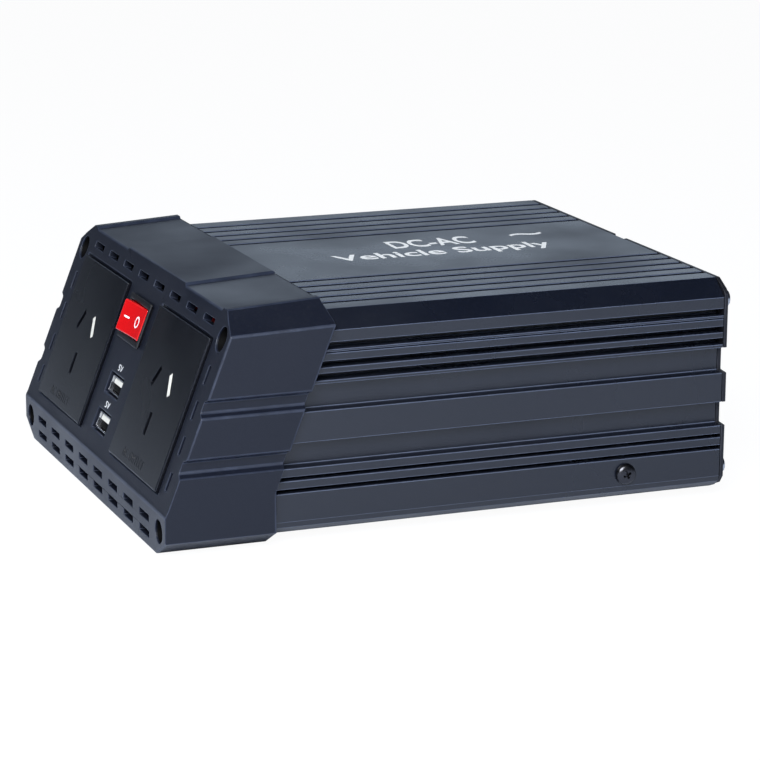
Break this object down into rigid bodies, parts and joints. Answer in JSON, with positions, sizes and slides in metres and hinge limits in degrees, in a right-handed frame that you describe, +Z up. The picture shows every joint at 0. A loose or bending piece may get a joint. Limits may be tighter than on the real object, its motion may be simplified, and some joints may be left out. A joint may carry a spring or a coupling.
{
  "type": "power inverter",
  "caption": "Finned aluminium DC to AC power inverter with a slanted plastic front cap carrying mains outlets, USB ports and a rocker switch, and a rear plate with fan and screw terminals.",
  "frame": {"origin": "on the ground, in the middle of the whole object's width and length", "axes": "+X to the right as seen from the outlet side, +Y from the outlets to the terminals, +Z up"},
  "size_m": [0.164, 0.2072, 0.0758],
  "materials": {
    "cap_plastic": "satin moulded ABS, blue-black",
    "anodised": "satin dark blue-grey anodised extrusion",
    "black_steel": "black powder coat",
    "outlet_plastic": "semi-gloss black moulding",
    "rocker_red": "glossy red rocker",
    "black_plastic": "black moulded plastic",
    "red_plastic": "red moulded plastic",
    "white_plastic": "white insulator",
    "bright_steel": "bright nickel plate",
    "dark_steel": "black oxide steel",
    "brass": "plain brass",
    "rubber": "matt black rubber",
    "board": "green solder mask",
    "ferrite": "matt dark ferrite",
    "copper_winding": "yellow insulating tape over copper",
    "bare_aluminium": "bare extruded bar"
  },
  "bodies": {
    "case": {"front_cap": "cap_plastic", "upper_case": "anodised", "lower_case": "anodised", "rear_plate": "black_steel", "cap_screw_upper_left": "dark_steel", "cap_screw_upper_right": "dark_steel", "cap_screw_lower_left": "dark_steel", "cap_screw_lower_right": "dark_steel", "rear_screw_upper_left": "bright_steel", "rear_screw_upper_right": "bright_steel", "rear_screw_lower_left": "bright_steel", "rear_screw_lower_right": "bright_steel", "side_screw_left": "dark_steel", "side_screw_right": "dark_steel", "outlet_left": "outlet_plastic", "active_contact_left": "brass", "neutral_contact_left": "brass", "earth_contact_left": "brass", "outlet_right": "outlet_plastic", "active_contact_right": "brass", "neutral_contact_right": "brass", "earth_contact_right": "brass", "switch_frame": "black_plastic", "usb_shell_upper": "bright_steel", "usb_tongue_upper": "white_plastic", "usb_shell_lower": "bright_steel", "usb_tongue_lower": "white_plastic", "usb_board": "board", "main_board": "board", "transformer_core": "ferrite", "transformer_winding": "copper_winding", "choke_coil": "copper_winding", "heat_bar_left": "bare_aluminium", "heat_bar_right": "bare_aluminium", "bus_capacitor": "black_plastic", "input_capacitor_left": "black_plastic", "input_capacitor_right": "black_plastic", "switch_lead": "red_plastic", "fan_frame": "black_plastic", "fan_guard": "bright_steel", "fan_screw_upper_left": "dark_steel", "fan_screw_upper_right": "dark_steel", "fan_screw_lower_left": "dark_steel", "fan_screw_lower_right": "dark_steel", "negative_bush": "black_plastic", "negative_stud": "brass", "positive_bush": "red_plastic", "positive_stud": "brass", "earth_screw": "bright_steel", "foot_left": "rubber", "foot_right": "rubber"},
    "rocker": {"switch_rocker": "rocker_red"},
    "fan": {"fan_rotor": "black_plastic"},
    "positive_clamp": {"positive_washer": "bright_steel"},
    "positive_nut": {"positive_knob": "red_plastic"},
    "negative_clamp": {"negative_washer": "bright_steel"},
    "negative_nut": {"negative_knob": "black_plastic"}
  },
  "joints": [
    {"name": "rocker_tilt", "type": "hinge", "parent": "case", "child": "rocker", "pos_m": [0, -0.08459, 0.055], "axis": [0, -0.3633, -0.9317], "range_deg": [0, 18]},
    {"name": "fan_spin", "type": "hinge", "parent": "case", "child": "fan", "pos_m": [-0.04, 0.0777, 0.037], "axis": [0, 1, 0], "continuous": true},
    {"name": "positive_clamp_travel", "type": "slide", "parent": "case", "child": "positive_clamp", "axis": [0, 1, 0], "range_m": [0, 0.004]},
    {"name": "positive_nut_turn", "type": "hinge", "parent": "positive_clamp", "child": "positive_nut", "pos_m": [0.03, 0.098, 0.037], "axis": [0, 1, 0], "range_deg": [0, 1441]},
    {"name": "negative_clamp_travel", "type": "slide", "parent": "case", "child": "negative_clamp", "axis": [0, 1, 0], "range_m": [0, 0.004]},
    {"name": "negative_nut_turn", "type": "hinge", "parent": "negative_clamp", "child": "negative_nut", "pos_m": [0.004, 0.098, 0.037], "axis": [0, 1, 0], "range_deg": [0, 1441]}
  ],
  "couplings": [
    {"joint": "positive_nut_turn", "follows": "positive_clamp_travel", "rad_per_m": 6283.2},
    {"joint": "negative_nut_turn", "follows": "negative_clamp_travel", "rad_per_m": 6283.2}
  ]
}
